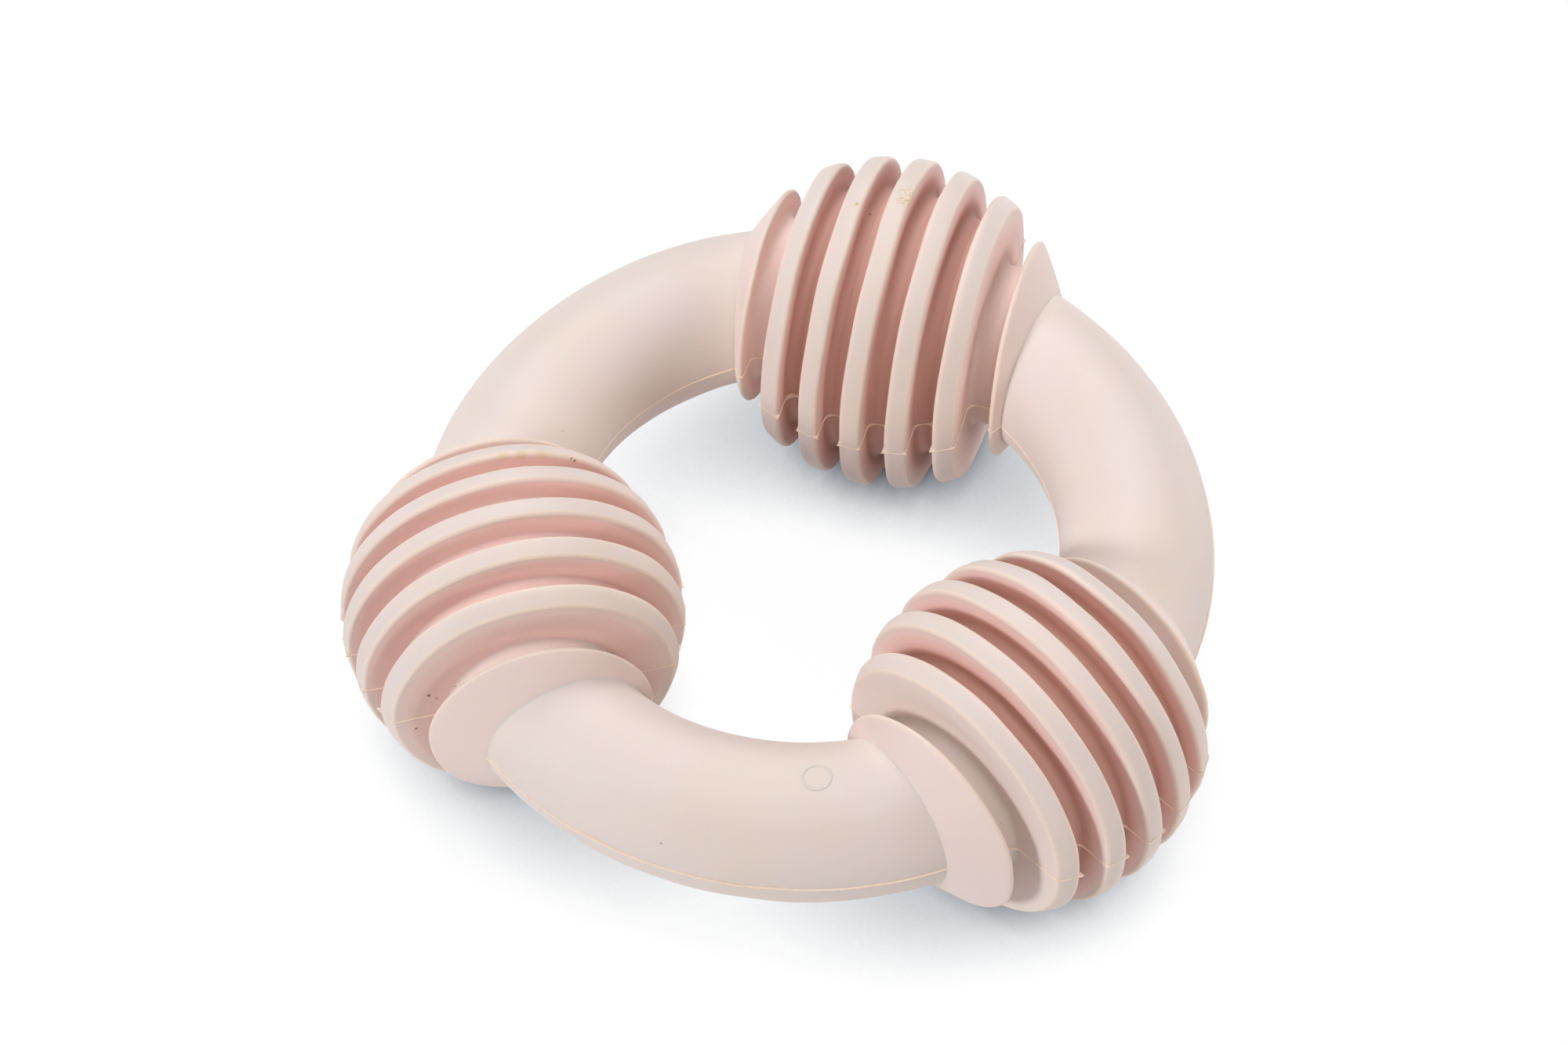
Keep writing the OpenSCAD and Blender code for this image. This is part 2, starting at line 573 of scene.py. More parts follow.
@dataclass(frozen=True)
class Arm:
    """A bent round bar whose ends flare softly on to the collars."""

    bar: Bar
    sizes: Moulding
    round_steps: int = 160
    half_rows: int = 36
    fillet_steps: int = 6
    fillet_reach: float = 0.32 * MM
    end_sunk: float = 0.015 * MM
    tail_sunk: float = 0.045 * MM
    tail_reach: float = 0.12 * MM
    cap_depth: float = 1.2 * MM
    slope_step: float = 0.05 * MM
    halvings: int = 50
    drops: int = 4

    def place(self) -> Matrix:
        """Matrix from the arm's own frame, whose X points at its middle, to the ring's."""
        return Matrix.Rotation(math.radians(self.bar.value), 4, "Z")

    def skin(self, bend: float, turn: float) -> Vector:
        """Point on the bar's skin, by the bend from its middle and the turn from its outer side."""
        size = self.sizes
        out = size.bend_r + size.arm_r * math.cos(turn)
        x = size.bend_x + out * math.cos(bend)
        return Vector((x, out * math.sin(bend), size.arm_r * math.sin(turn)))

    def angles(self, point: Vector) -> tuple[float, float]:
        """The bend and the turn of a point on the bar's skin."""
        size = self.sizes
        x = point.x - size.bend_x
        out = math.hypot(x, point.y) - size.bend_r
        return math.atan2(point.y, x), math.atan2(point.z, out)

    def skin_normal(self, bend: float, turn: float) -> Vector:
        """Outward normal of the bar's skin."""
        flat = math.cos(turn)
        return Vector((flat * math.cos(bend), flat * math.sin(bend), math.sin(turn)))

    def ball_axis(self) -> tuple[Vector, Vector]:
        """Middle of the anticlockwise ball, and the way from it to the arm, in the arm's frame."""
        middle = Vector((math.cos(BALL_TO_ARM), math.sin(BALL_TO_ARM), 0))
        axis = Vector((math.sin(BALL_TO_ARM), -math.cos(BALL_TO_ARM), 0))
        return middle * self.sizes.ball_ring_r, axis

    def collar_gap(self, point: Vector) -> float:
        """How far outside the collar's cone a point lies, square to the ball's axis."""
        middle, axis = self.ball_axis()
        along = (point - middle).dot(axis)
        across = (point - middle - axis * along).length
        return across - self.sizes.flank(along)

    def collar_normal(self, point: Vector) -> Vector:
        """Outward normal of the collar's cone at a point on it."""
        middle, axis = self.ball_axis()
        along = (point - middle).dot(axis)
        across = (point - middle - axis * along).normalized()
        step = self.slope_step
        slope = (self.sizes.flank(along + step) - self.sizes.flank(along - step)) / (2 * step)
        return (across - axis * slope).normalized()

    def crease_bend(self, turn: float) -> float:
        """Bend at which the bar's skin meets the anticlockwise collar's cone."""
        low = 0.0
        high = BALL_TO_ARM
        for _ in range(self.halvings):
            middle = (low + high) / 2
            if self.collar_gap(self.skin(middle, turn)) > 0:
                low = middle
            else:
                high = middle
        return low

    def on_collar(self, point: Vector) -> Vector:
        """The point dropped on to the collar's cone, along the cone's normal."""
        tilt = math.cos(math.pi / 2 - self.sizes.flank_angle)
        for _ in range(self.drops):
            point = point - self.collar_normal(point) * self.collar_gap(point) * tilt
        return point

    def flare(self, turn: float) -> Flare:
        """Works out how one line of the bar ends on the collar.

        Args:
            turn: Angle of the line round the bar's section.

        Returns:
            The bend and the turn at which the flare starts, and its points.
        """
        bend = self.crease_bend(turn)
        crease = self.skin(bend, turn)
        bar_normal = self.skin_normal(bend, turn)
        cone_normal = self.collar_normal(crease)
        along = bar_normal.cross(cone_normal).normalized()
        up_bar = bar_normal.cross(along)
        up_bar *= 1 if up_bar.dot(cone_normal) > 0 else -1
        up_cone = cone_normal.cross(along)
        up_cone *= 1 if up_cone.dot(bar_normal) > 0 else -1
        start_bend, start_turn = self.angles(crease + up_bar * self.fillet_reach)
        start = self.skin(start_bend, start_turn)
        stop = self.on_collar(crease + up_cone * self.fillet_reach)
        points = [
            start * (1 - t) ** 2 + crease * 2 * t * (1 - t) + stop * t * t
            for t in between(0, 1, self.fillet_steps)[1:-1]
        ]
        normal = self.collar_normal(stop)
        points.append(stop - normal * self.end_sunk)
        points.append(stop + up_cone * self.tail_reach - normal * self.tail_sunk)
        points.append(stop - normal * self.cap_depth)
        return start_bend, start_turn, points

    def between_flares(self, turn: float, flare: Flare, share: float) -> Vector:
        """Point on one line of the bar, at a share of the way from its middle to its flare."""
        bend, end_turn, _ = flare
        drift = (end_turn - turn + math.pi) % (2 * math.pi) - math.pi
        return self.skin(bend * share, turn + drift * share * share)

    def mesh(self) -> Mesh:
        """Builds the bar by sweeping its section, then laying its ends on the collars."""
        bm = bmesh.new()
        radius = self.sizes.arm_r
        ring = bmesh.ops.create_circle(bm, segments=self.round_steps, radius=radius)["verts"]
        turns = [math.atan2(vert.co.y, vert.co.x) for vert in ring]
        flares = [self.flare(turn) for turn in turns]
        rows = [
            [self.between_flares(turn, flare, share) for turn, flare in zip(turns, flares)]
            for share in between(0, 1, self.half_rows)[1:]
        ]
        rows += zip(*(points for _, _, points in flares))
        for side in (1, -1):
            loop = list(ring)
            for row in rows:
                loop = extruded(bm, loop, closed=True)
                for vert, point in zip(loop, row):
                    vert.co = Vector((point.x, point.y * side, point.z))
            bm.faces.new(loop)
        for vert, turn in zip(ring, turns):
            vert.co = self.skin(0, turn)
        bmesh.ops.recalc_face_normals(bm, faces=bm.faces)
        bmesh.ops.transform(bm, matrix=self.place(), verts=bm.verts)
        return bm

    def build(self, workshop: Workshop) -> None:
        """Builds the arm's piece."""
        workshop.dress(f"arm_{self.bar.name.lower()}", self.mesh())


@dataclass(frozen=True)
class Seam:
    """The thin lip of rubber that the two halves of the mould leave right round the ring.

    It stands on the plane z = 0. Over an arm it is one even lip. Over a ball it follows
    every rim, wall and floor, fills the corners of the grooves a little, and stands out
    in small nibs on some of the edges.
    """

    sizes: Moulding
    arm_rise: float = 0.17 * MM
    outer_extra: float = 0.04 * MM
    ball_rise: float = 0.13 * MM
    nib_rise: float = 0.34 * MM
    foot: float = 0.3 * MM
    foot_width: float = 0.3 * MM
    top_width: float = 0.15 * MM
    wander: float = 0.16 * MM
    wander_length: float = 4.5 * MM
    fill_r: float = 1.35 * MM
    tip_r: float = 0.12 * MM
    bury: float = 0.9 * MM
    arc_steps: int = 6
    fill_steps: int = 5
    arm_steps: int = 120
    ball_waver: float = 0.35
    arm_waver: float = 0.35 / 3
    waver_length: float = 1.1 * MM

    def strip(self, feet: list[Vector], tops: list[Vector]) -> Mesh:
        """Makes a lip that tapers from its foot to its top.

        Args:
            feet: Points under the skin, on the plane z = 0.
            tops: As many points on the lip's crest.

        Returns:
            The closed mesh.
        """
        bm = bmesh.new()
        low = [bm.verts.new((p.x, p.y, -self.foot_width / 2)) for p in feet]
        for pair in zip(low, low[1:]):
            bm.edges.new(pair)
        for high, top in zip(extruded(bm, low), tops):
            high.co = Vector((top.x, top.y, -self.top_width / 2))
        made = bmesh.ops.extrude_face_region(bm, geom=bm.faces[:])["geom"]
        for vert in made:
            if isinstance(vert, Vert):
                vert.co.z = -vert.co.z
        for vert in bm.verts:
            vert.co.z += self.wander * noise.noise(vert.co / self.wander_length)
        bmesh.ops.recalc_face_normals(bm, faces=bm.faces)
        return bm

    def corners(self, lift: float) -> list[tuple[Vector, bool]]:
        """Corners of half a ball's section, lifted outwards, and whether each is hollow."""
        size = self.sizes
        before = Vector((lift, -lift))
        after = Vector((lift, lift))
        found = []
        for number in range(size.ribs_each_side + 1):
            low = number * size.rib_pitch - size.rib_t / 2
            high = low + size.rib_t
            if number:
                found += [(size.on_floor(low) + before, True), (size.on_rim(low) + before, False)]
            found += [(size.on_rim(high) + after, False), (size.on_floor(high) + after, True)]
        spread = math.tan(size.flank_angle) + 1 / math.cos(size.flank_angle)
        edge = Vector((size.sharp_r + lift * spread, size.collar_z - lift))
        return [*found, (size.on_floor(size.collar_z) + before, True), (edge, False)]

    def outline(
        self, face: Face, lift: float, hollow_r: float, edge_r: float
    ) -> list[tuple[Vector, float]]:
        """Rounded outline of a ball's section from one arm to the other.

        Args:
            face: The side of the ball.
            lift: How far the outline is moved outwards.
            hollow_r: Radius of the hollow corners.
            edge_r: Radius of the ribs' edges. A collar's nose keeps its own.

        Returns:
            The points, as radius and height, and how near each is to the tip of an edge.
        """
        size = self.sizes
        end_z = self.end_z(face)
        end = Vector((size.flank(end_z) + lift / math.cos(size.flank_angle), end_z))
        half = self.corners(lift)
        flip = [(Vector((p.x, -p.y)), hollow) for p, hollow in reversed(half)]
        turns = flip + half
        path = [Vector((end.x, -end.y)), *(p for p, _ in turns), end]
        points = [(path[0], 0.0)]
        for i, (_, hollow) in enumerate(turns, start=1):
            nose = i in (1, len(turns))
            radius = size.nose_r + lift if nose else hollow_r if hollow else edge_r
            bend = arc(path[i - 1], path[i], path[i + 1], radius, self.arc_steps)
            last = points[-1][0]
            points += [(last.lerp(bend[0], t), 0.0) for t in between(0, 1, self.fill_steps)[1:-1]]
            blunt = hollow or nose
            for step, point in enumerate(bend):
                near = 0.0 if blunt else math.sin(math.pi * step / self.arc_steps)
                points.append((point, near))
        last = points[-1][0]
        points += [(last.lerp(end, t), 0.0) for t in between(0, 1, self.fill_steps)[1:]]
        return points

    def end_z(self, face: Face) -> float:
        """Height along the ball at which the seam has sunk into the arm."""
        turn = 0.0 if face is Face.OUTER else math.pi
        arm = Arm(Bar.FRONT, self.sizes)
        crease = arm.skin(arm.crease_bend(turn), turn)
        middle, axis = arm.ball_axis()
        return (crease - middle).dot(axis) + self.bury

    def over_ball(self, ball: Ball, face: Face) -> Mesh:
        """Builds the lip over one side of a ball."""
        size = self.sizes
        chance = random.Random(f"{ball.name} {face.name}")
        feet = self.outline(face, -self.foot, size.root_r, size.rib_edge_r / 2)
        tops = self.outline(face, self.ball_rise, self.fill_r, self.tip_r)
        place = size.ball_place(ball)
        nib = 0.0
        low_points = []
        top_points = []
        for (low, _), (top, near) in zip(feet, tops):
            if near == 0:
                nib = self.nib_rise * chance.random() ** 2
            swell = noise.noise(Vector((top.x, top.y, ball.value.angle)) / self.waver_length)
            rise = self.ball_rise * self.ball_waver * swell + nib * near**3
            top = top + (top - low).normalized() * rise
            low_points.append(place @ Vector((low.x * face.value, 0, low.y)))
            top_points.append(place @ Vector((top.x * face.value, 0, top.y)))
        return self.strip(low_points, top_points)

    def over_arm(self, bar: Bar, face: Face) -> Mesh:
        """Builds the lip over one side of an arm."""
        size = self.sizes
        arm = Arm(bar, size)
        turn = 0.0 if face is Face.OUTER else math.pi
        skin_r = size.bend_r + size.arm_r * face.value
        reach = arm.crease_bend(turn) + self.bury / skin_r
        rise = self.arm_rise + self.outer_extra * face.value
        feet = []
        tops = []
        for bend in between(-reach, reach, self.arm_steps):
            swell = noise.noise(Vector((bend * skin_r / self.waver_length, bar.value, 0)))
            top_r = skin_r + face.value * rise * (1 + self.arm_waver * swell)
            low_r = skin_r - face.value * self.foot
            for chain, radius in ((feet, low_r), (tops, top_r)):
                flat = Vector((size.bend_x + radius * math.cos(bend), radius * math.sin(bend), 0))
                chain.append(arm.place() @ flat)
        return self.strip(feet, tops)

    def build(self, workshop: Workshop) -> None:
        """Builds the seam over every ball and arm, inside and outside the ring."""
        for face in Face:
            side = face.name.lower()
            for ball in Ball:
                name = f"seam_{ball.name.lower()}_ball_{side}"
                workshop.piece(name, self.over_ball(ball, face), workshop.lip)
            for bar in Bar:
                name = f"seam_{bar.name.lower()}_arm_{side}"
                workshop.piece(name, self.over_arm(bar, face), workshop.lip)


@dataclass(frozen=True)
class VentMark:
    """The faint round mark that a vent pin of the mould leaves on top of the front arm."""

    sizes: Moulding
    bend: float = math.radians(17.49)
    turn: float = math.radians(90.6)
    radius: float = 1.86 * MM
    line_width: float = 0.32 * MM
    line_rise: float = 0.075 * MM
    bury: float = 0.3 * MM
    steps: int = 72
    line_steps: int = 8

    def outline(self) -> list[Vector]:
        """Section of the low round line, closed on itself under the skin."""
        half = self.line_width / 2
        inside = Vector((self.radius - half, -self.bury))
        outside = Vector((self.radius + half, -self.bury))
        crest = [
            Vector((self.radius + half * math.cos(turn), self.line_rise * math.sin(turn)))
            for turn in between(math.pi, 0, self.line_steps)
        ]
        return [inside, *crest, outside, inside]

    def build(self, workshop: Workshop) -> None:
        """Builds the mark and lays it on the arm's skin."""
        size = self.sizes
        arm = Arm(Bar.FRONT, size)
        bm = spun(self.outline(), self.steps)
        for vert in bm.verts:
            bend = self.bend + vert.co.x / size.bend_r
            turn = self.turn - vert.co.y / size.arm_r
            vert.co = arm.skin(bend, turn) + arm.skin_normal(bend, turn) * vert.co.z
        bmesh.ops.transform(bm, matrix=arm.place(), verts=bm.verts)
        bmesh.ops.recalc_face_normals(bm, faces=bm.faces)
        workshop.piece("vent_mark_front_arm", bm, workshop.rubber)


def linear(hex_colour: str) -> tuple[float, float, float, float]:
    """Turns an sRGB hex colour into Blender's linear values."""
    shares = [int(hex_colour[i:i + 2], 16) / 255 for i in (1, 3, 5)]
    low = [s / 12.92 if s <= 0.04045 else ((s + 0.055) / 1.055) ** 2.4 for s in shares]
    return low[0], low[1], low[2], 1.0


def add_node(
    tree: Tree, kind: str, inputs: dict[str | int, object] | None = None, **settings: object
) -> bpy.types.Node:
    """Adds a node to a tree.

    Args:
        tree: The tree.
        kind: Blender's name for the node's type, after its first word.
        inputs: What goes into its inputs, by name or number: a socket to link or a value.
        settings: Its properties.

    Returns:
        The node.
    """
    node = tree.nodes.new(f"ShaderNode{kind}")
    for name, value in settings.items():
        setattr(node, name, value)
    for name, value in (inputs or {}).items():
        if isinstance(value, Socket):
            tree.links.new(value, node.inputs[name])
        else:
            node.inputs[name].default_value = value
    return node


def mixed(tree: Tree, share: Socket, a: Socket | str, b: Socket | str) -> Socket:
    """Adds a mix of two colours, each of them a socket or sRGB hex."""
    inputs = {MIX_SHARE: share}
    for place, colour in ((MIX_A, a), (MIX_B, b)):
        inputs[place] = linear(colour) if isinstance(colour, str) else colour
    return add_node(tree, "Mix", inputs, data_type="RGBA").outputs[MIX_COLOUR]


def reckoned(
    tree: Tree, operation: str, a: Socket, b: Socket | float, **settings: object
) -> Socket:
    """Adds an operation of the Math node on two values."""
    return add_node(tree, "Math", {0: a, 1: b}, operation=operation, **settings).outputs["Value"]


def mapped(
    tree: Tree, value: Socket, low: float, high: float, top: float = 1.0, **settings: object
) -> Socket:
    """Adds a map of a value, so that low turns into 0 and high into top."""
    inputs = {"Value": value, "From Min": low, "From Max": high, "To Max": top}
    return add_node(tree, "MapRange", inputs, **settings).outputs["Result"]


def new_material(name: str) -> tuple[Material, Tree]:
    """Makes a material and empties its tree."""
    material = bpy.data.materials.new(name)
    material.use_nodes = True
    material.node_tree.nodes.clear()
    return material, material.node_tree


@dataclass(frozen=True)
class Noise:
    """An even noise in the rubber, with forms about one size across."""

    size: float
    detail: float
    roughness: float = 0.5
    low: float = 0.0
    high: float = 1.0

    def add(self, tree: Tree, place: Socket) -> bpy.types.Node:
        """Adds the noise at a place."""
        inputs = {"Scale": 1 / self.size, "Detail": self.detail, "Roughness": self.roughness}
        return add_node(tree, "TexNoise", inputs | {"Vector": place})

    def share(self, tree: Tree, place: Socket) -> Socket:
        """Adds the noise, stretched from low and high to 0 and 1."""
        return mapped(tree, self.add(tree, place).outputs["Fac"], self.low, self.high)


@dataclass(frozen=True)
class Mark:
    """A small spot of another colour in the rubber's skin, placed in millimetres."""

    place: tuple[float, float, float]
    radius: float
    colour: str
    strength: float = 1.0
    dotted: bool = False
    core_share: float = 0.45

    def lay(self, tree: Tree, place: Socket, dots: Socket, colour: Socket) -> Socket:
        """Adds the nodes that lay the mark over a colour, in a pattern of dots if dotted."""
        middle = [value * MM for value in self.place]
        away = add_node(tree, "VectorMath", {0: place, 1: middle}, operation="DISTANCE")
        share = mapped(
            tree,
            away.outputs["Value"],
            self.radius * MM,
            self.radius * MM * self.core_share,
            self.strength,
            interpolation_type="SMOOTHSTEP",
        )
        if self.dotted:
            share = reckoned(tree, "MULTIPLY", share, dots)
        return mixed(tree, share, colour, self.colour)


# What the toy has picked up in use, and flecks of filler in the rubber: place and radius in
# millimetres, colour and strength
MARKS = (
    Mark((-4.4, 44.46, 17.67), 0.26, "#5A3A2C"),
    Mark((-4.64, 36.75, 18.84), 0.17, "#8A5A48"),
    Mark((-3.43, 30.02, 14.1), 0.19, "#8A5648"),
    Mark((-40.54, -39.21, 4.64), 0.34, "#8E5E50"),
    Mark((-39.71, -38.71, 3.55), 0.22, "#9C6C5C"),
    Mark((-42.48, -40.26, -2.26), 0.24, "#94665A"),
    Mark((-37.38, -37.46, 5.58), 0.2, "#A97F70", 0.7),
    Mark((-5.44, 42.0, 22.14), 0.42, "#C2B46C", 0.9),
    Mark((0.73, 45.19, 22.41), 1.9, "#D9C08A", 0.75, dotted=True),
    Mark((0.46, 43.77, 22.63), 1.1, "#D2B678", 0.8, dotted=True),
    Mark((-31.15, -5.5, 16.31), 0.27, "#A8954E", 0.85),
    Mark((-30.81, -5.29, 15.83), 0.27, "#7F7038", 0.9),
    Mark((-36.15, 5.05, 7.53), 0.24, "#D9A49A", 0.8),
    Mark((14.89, -29.94, 5.4), 0.3, "#E0A070", 0.7),
    Mark((36.27, -38.53, 5.02), 0.35, "#C98A84", 0.7),
    Mark((-39.0, -10.08, 19.69), 1.1, "#DECB9C", 0.45),
    Mark((-36.9, -8.7, 19.2), 1.0, "#DCC896", 0.5),
    Mark((-34.53, -7.4, 18.55), 1.1, "#DECB9C", 0.45),
    Mark((-4.68, -52.66, 4.21), 0.22, "#B58F84", 0.8),
)


@dataclass(frozen=True)
class MouldedRubber:
    """Pale pink natural rubber, moulded in a blasted steel mould and washed.

    It gives the eye a soft, almost chalky skin: light sinks in a little and comes out
    warmer, so that edges glow, and the mould's fine grain breaks up the weak shine. Its
    colour also carries painted shade, darker and pinker deep in the grooves, and a painted
    highlight: a paler cream line along the rounded edges.
    """

    name: str = "moulded_natural_rubber"
    colour: str = "#E7D9D4"
    cloud_colour: str = "#E7D8CE"
    # Painted shade: from a groove's edge to its bottom the colour turns darker and pinker
    groove_shade_colours: tuple[tuple[float, str], ...] = (
        (0.03, "#E7D9D4"),
        (0.22, "#F4D9D1"),
        (0.5, "#F0CDC5"),
        (0.75, "#DEB4A9"),
        (1.0, "#D8ADA1"),
    )
    # Painted highlight: a paler cream line along the rounded edges of ribs and collar noses
    edge_highlight_colour: str = "#F3DDCB"
    edge_highlight_share: float = 0.6
    roughness: float = 0.62
    ior: float = 1.52
    light_depth: float = 1.1 * MM
    depth_by_colour: tuple[float, float, float] = (1.0, 0.55, 0.4)
    light_share: float = 0.35
    grain: Noise = Noise(0.45 * MM, detail=2.0, roughness=0.6)
    grain_depth: float = 0.02 * MM
    clouds: Noise = Noise(14 * MM, detail=3.0, roughness=0.55, low=0.35, high=0.65)
    dots: Noise = Noise(0.3 * MM, detail=0.0, low=0.52, high=0.6)
    rags: Noise = Noise(0.35 * MM, detail=1.0)
    rag_reach: float = 0.25 * MM
    marks: tuple[Mark, ...] = ()

    def make(self) -> Material:
        """Builds the material."""
        material, tree = new_material(self.name)
        place = add_node(tree, "TexCoord").outputs["Object"]
        skin = self.with_marks(tree, place, self.skin(tree, place))
        height = self.grain.add(tree, place).outputs["Fac"]
        bump = add_node(
            tree, "Bump", {"Strength": 1.0, "Distance": self.grain_depth, "Height": height}
        )
        shader = add_node(
            tree,
            "BsdfPrincipled",
            {
                "Base Color": skin,
                "Roughness": self.roughness,
                "IOR": self.ior,
                "Normal": bump.outputs["Normal"],
                "Subsurface Weight": self.light_share,
                "Subsurface Scale": self.light_depth,
                "Subsurface Radius": self.depth_by_colour,
            },
            subsurface_method="RANDOM_WALK",
        )
        add_node(tree, "OutputMaterial", {"Surface": shader.outputs["BSDF"]})
        return material

    def skin(self, tree: Tree, place: Socket) -> Socket:
        """Adds the rubber's colour: clouds, painted shade deeper in the grooves, painted highlight
        on edges.
        """
        colour = mixed(tree, self.clouds.share(tree, place), self.colour, self.cloud_colour)
        # Painted shade: the deeper in a groove, the darker and pinker the colour
        groove = add_node(tree, "Attribute", attribute_name=GROOVE_SHADE).outputs["Fac"]
        groove_shades = add_node(tree, "ValToRGB", {"Fac": groove})
        self.fill_ramp(groove_shades.color_ramp)
        first_depth = self.groove_shade_colours[1][0]
        inside = reckoned(tree, "MULTIPLY", groove, 1 / first_depth, use_clamp=True)
        colour = mixed(tree, inside, colour, groove_shades.outputs["Color"])
        # Painted highlight: a paler cream line along the rounded edges
        edge = add_node(tree, "Attribute", attribute_name=EDGE_HIGHLIGHT).outputs["Fac"]
        edge_highlight_share = reckoned(tree, "MULTIPLY", edge, self.edge_highlight_share)
        return mixed(tree, edge_highlight_share, colour, self.edge_highlight_colour)

    def fill_ramp(self, ramp: bpy.types.ColorRamp) -> None:
        """Puts the painted shade's colours of a groove, from its edge to its bottom, in a ramp."""
        for position, _ in self.groove_shade_colours[2:]:
            ramp.elements.new(position)
        for stop, (position, colour) in zip(ramp.elements, self.groove_shade_colours):
            stop.position = position
            stop.color = linear(colour)

    def with_marks(self, tree: Tree, place: Socket, colour: Socket) -> Socket:
        """Adds the nodes that lay the marks, with ragged outlines, over a colour."""
        if not self.marks:
            return colour
        fine = self.rags.add(tree, place).outputs["Color"]
        shift = add_node(tree, "VectorMath", {0: fine, 1: (0.5, 0.5, 0.5)}, operation="SUBTRACT")
        reach = (self.rag_reach, self.rag_reach, self.rag_reach)
        inputs = {0: shift.outputs["Vector"], 1: reach, 2: place}
        ragged = add_node(tree, "VectorMath", inputs, operation="MULTIPLY_ADD").outputs["Vector"]
        dots = self.dots.share(tree, place)
        for mark in self.marks:
            colour = mark.lay(tree, ragged, dots, colour)
        return colour


@dataclass(frozen=True)
class PhotoCamera:
    """The photograph's camera, found from the ring's own edges in the picture."""

    azimuth: float = math.radians(17.438)
    elevation: float = math.radians(53.663)
    roll: float = math.radians(-1.540)
    distance: float = 675.4 * MM
    picture_px: tuple[float, float] = (2000.0, 1333.0)
    ring_middle_px: tuple[float, float] = (1035.24, 702.43)
    focal_px: float = 6422.5
    sensor_mm: float = 36.0
    nearest: float = 10 * MM
    farthest: float = 20.0

    @property
    def sight(self) -> Vector:
        """Way from the middle of the ring to the camera."""
        return direction(self.azimuth - math.pi / 2, self.elevation)

    def axes(self) -> tuple[Vector, Vector, Vector]:
        """Right, up and back of the camera, in the ring's frame."""
        back = self.sight
        right = Vector((math.cos(self.azimuth), math.sin(self.azimuth), 0))
        up = back.cross(right)
        turned = right * math.cos(self.roll) + up * math.sin(self.roll)
        upright = up * math.cos(self.roll) - right * math.sin(self.roll)
        aside = (self.ring_middle_px[0] - self.picture_px[0] / 2) / self.focal_px
        below = (self.ring_middle_px[1] - self.picture_px[1] / 2) / self.focal_px
        back = (back + turned * aside - upright * below).normalized()
        right = (turned - back * turned.dot(back)).normalized()
        return right, back.cross(right), back

    def build(self) -> None:
        """Makes the camera the scene's own."""
        data = bpy.data.cameras.new("photo_camera")
        data.sensor_width = self.sensor_mm
        data.lens = self.focal_px / self.picture_px[0] * self.sensor_mm
        data.clip_start = self.nearest
        data.clip_end = self.farthest
        camera = placed("photo_camera", data)
        turn = Matrix(self.axes()).transposed().to_4x4()
        camera.matrix_world = Matrix.Translation(self.sight * self.distance) @ turn
        bpy.context.scene.camera = camera


@dataclass(frozen=True)
class SoftBox:
    """A square lamp that looks at the ring from a direction told from the camera's side."""

    name: str
    round_angle: float
    height_angle: float
    distance: float
    width: float
    level: float
    colour: str = WHITE

    def hang(self, camera_azimuth: float) -> None:
        """Makes the lamp. At a level of 1, what faces it squarely shows colours as written."""
        turn = camera_azimuth - math.radians(self.round_angle)
        place = direction(turn, math.radians(self.height_angle)) * self.distance
        data = bpy.data.lights.new(self.name, "AREA")
        data.shape = "SQUARE"
        data.size = self.width
        data.color = linear(self.colour)[:3]
        data.energy = self.level * math.pi**2 * place.length_squared
        lamp = placed(self.name, data)
        lamp.location = place
        lamp.rotation_euler = (-place).to_track_quat("-Z", "Y").to_euler()


# Each lamp's angles are in degrees: round the ring, from the camera's right at 0 over its own
# side at 90, and upwards. Then come its distance and width in metres, its level and colour.
# The key comes in low from the front left and draws the ribs' shadows in the grooves.
SOFT_BOXES = (
    SoftBox("key_lamp", 150, 28, 1.5, 0.3, 0.523, "#FBFDFF"),
    SoftBox("back_lamp", 270, 42, 1.25, 0.5, 0.448),
    SoftBox("top_lamp", 0, 90, 1.25, 0.9, 0.391),
    SoftBox("right_lamp", 0, 19, 1.25, 0.55, 0.294),
    SoftBox("front_lamp", 60, 25, 1.5, 0.35, 0.148, "#FFF2E6"),
)


@dataclass(frozen=True)
class FloorShade:
    """Shade that the floor shows where something stands over it."""

    reach: float
    least: float
    most: float
    colour: str
    samples: int = 16

    def lay(self, tree: Tree, colour: Socket | str) -> Socket:
        """Adds the nodes that lay the shade over a colour."""
        openness = add_node(
            tree, "AmbientOcclusion", {"Distance": self.reach}, samples=self.samples
        )
        share = mapped(tree, openness.outputs["AO"], self.least, self.most)
        return mixed(tree, share, self.colour, colour)


# The wide, bluish shade lies under the whole ring, and the close one where a ball rests
FLOOR_SHADES = (
    FloorShade(24 * MM, 0.08, 0.62, "#3F5A70"),
    FloorShade(7 * MM, 0.25, 0.8, "#33282A"),
)


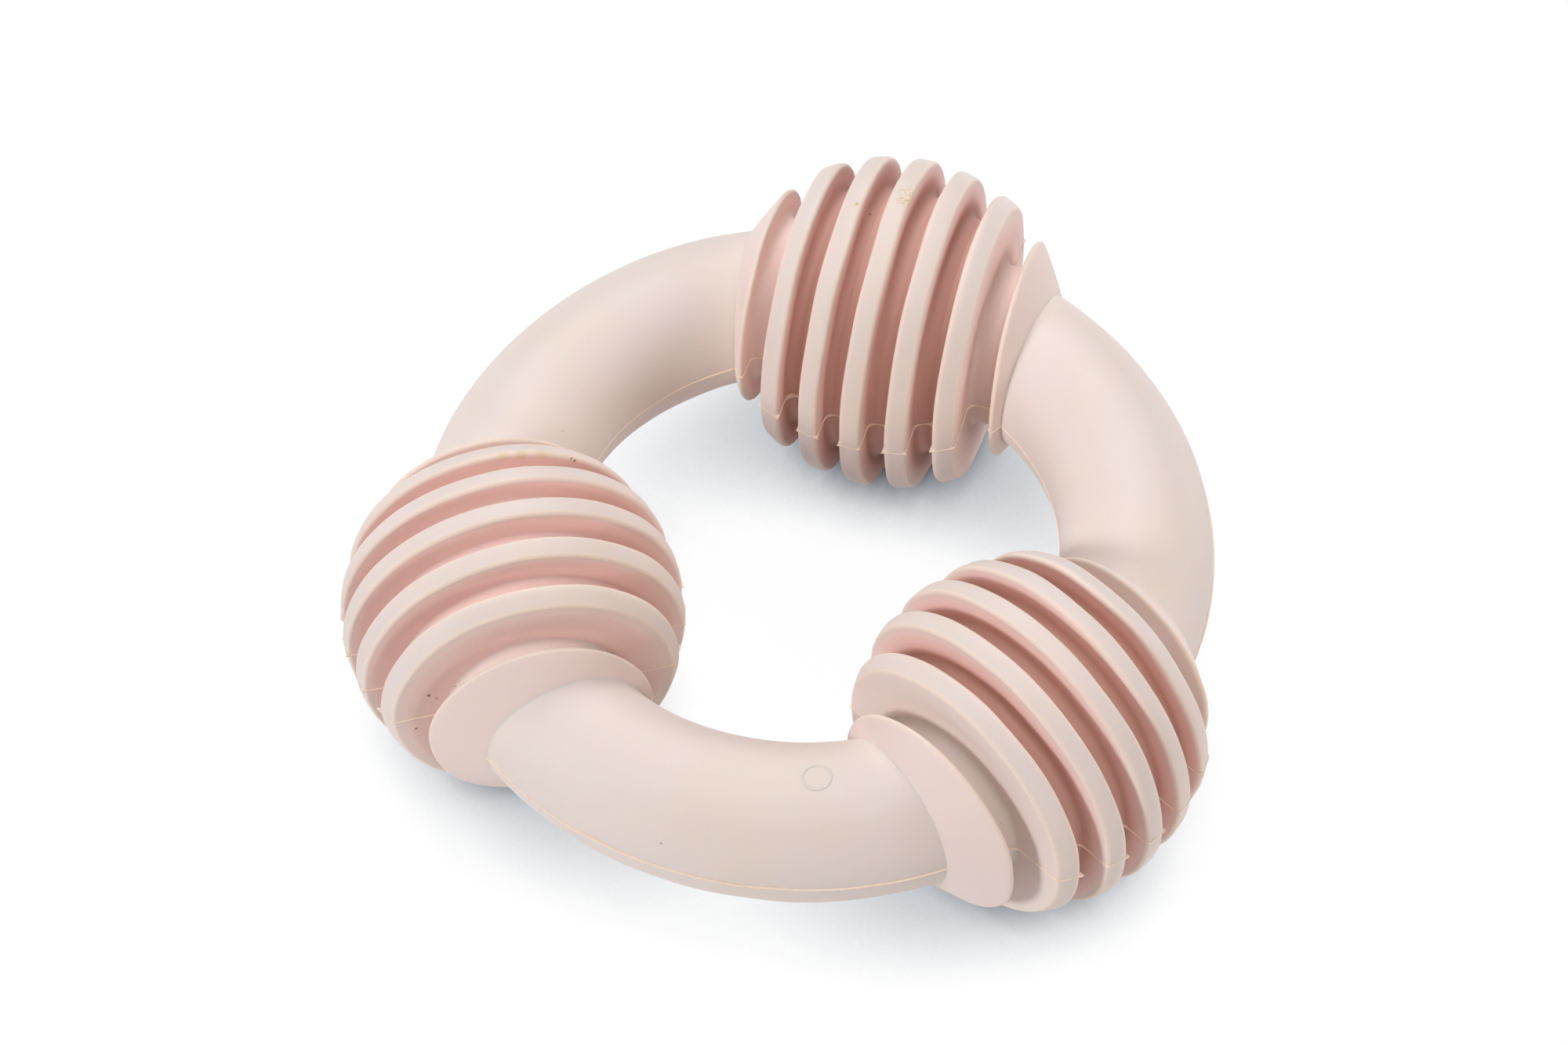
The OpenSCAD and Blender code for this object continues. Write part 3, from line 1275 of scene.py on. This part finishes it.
@dataclass(frozen=True)
class Studio:
    """White floor, five soft boxes and a surround that is white to the camera."""

    floor_z: float
    camera_azimuth: float
    floor_half: float = 3.0
    floor_colour: str = "#F3F3F4"
    floor_seen: str = "#3A3C3E"
    floor_glow: float = 0.97
    floor_roughness: float = 0.6

    def build(self) -> None:
        """Builds the floor, the lamps and the surround."""
        self.build_floor()
        for box in SOFT_BOXES:
            box.hang(self.camera_azimuth)
        self.build_surround()

    def build_floor(self) -> None:
        """Lays the floor, which the camera sees white but for the shade close to the ring."""
        bm = bmesh.new()
        bmesh.ops.create_grid(bm, x_segments=1, y_segments=1, size=self.floor_half)
        bmesh.ops.translate(bm, vec=(0, 0, self.floor_z), verts=bm.verts)
        mesh = bpy.data.meshes.new("floor")
        bm.to_mesh(mesh)
        bm.free()
        floor = placed("floor", mesh)
        mesh.materials.append(self.acrylic())

    def acrylic(self) -> Material:
        """Makes the matt white acrylic sheet, which gives the camera its own white."""
        material, tree = new_material("white_acrylic_sheet")
        seen = self.seen_directly(tree)
        paint = add_node(
            tree,
            "BsdfPrincipled",
            {
                "Base Color": mixed(tree, seen, self.floor_colour, self.floor_seen),
                "Roughness": self.floor_roughness,
                "Specular IOR Level": 0.0,
            },
        )
        colour = WHITE
        for shade in FLOOR_SHADES:
            colour = shade.lay(tree, colour)
        strength = reckoned(tree, "MULTIPLY", seen, self.floor_glow)
        glow = add_node(tree, "Emission", {"Color": colour, "Strength": strength})
        layers = {0: paint.outputs["BSDF"], 1: glow.outputs["Emission"]}
        both = add_node(tree, "AddShader", layers)
        add_node(tree, "OutputMaterial", {"Surface": both.outputs["Shader"]})
        return material

    def seen_directly(self, tree: Tree) -> Socket:
        """Adds the test for what the camera sees straight, in gloss or through glass."""
        path = add_node(tree, "LightPath")
        total = path.outputs["Is Camera Ray"]
        for name in ("Is Glossy Ray", "Is Transmission Ray"):
            total = reckoned(tree, "MAXIMUM", total, path.outputs[name])
        return total

    def build_surround(self) -> None:
        """Shows the camera plain white beyond the floor. The surround gives no light."""
        world = bpy.data.worlds.new("surround")
        world.use_nodes = True
        tree = world.node_tree
        tree.nodes.clear()
        white = {"Color": linear(WHITE), "Strength": self.seen_directly(tree)}
        background = add_node(tree, "Background", white)
        add_node(tree, "OutputWorld", {"Surface": background.outputs["Background"]})
        bpy.context.scene.world = world


def main() -> None:
    """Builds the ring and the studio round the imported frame."""
    logging.basicConfig(level=logging.INFO, format="%(message)s")
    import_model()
    bpy.context.scene.view_settings.view_transform = "Standard"
    noise.seed_set(NOISE_SEED)
    sizes = Moulding.from_frame()
    camera = PhotoCamera()
    camera.build()
    Studio(floor_z=sizes.floor_z, camera_azimuth=camera.azimuth).build()
    workshop = Workshop(
        Unevenness(sizes.floor_z),
        rubber=MouldedRubber(marks=MARKS).make(),
        lip=MouldedRubber(
            name="thin_rubber_lip",
            colour="#F6E3D2",
            cloud_colour="#F5DEC8",
            light_share=0.0,
        ).make(),
    )
    forms = [RibbedBall(ball, sizes) for ball in Ball] + [Arm(bar, sizes) for bar in Bar]
    for form in [*forms, Seam(sizes), VentMark(sizes)]:
        form.build(workshop)


if __name__ == "__main__":
    main()
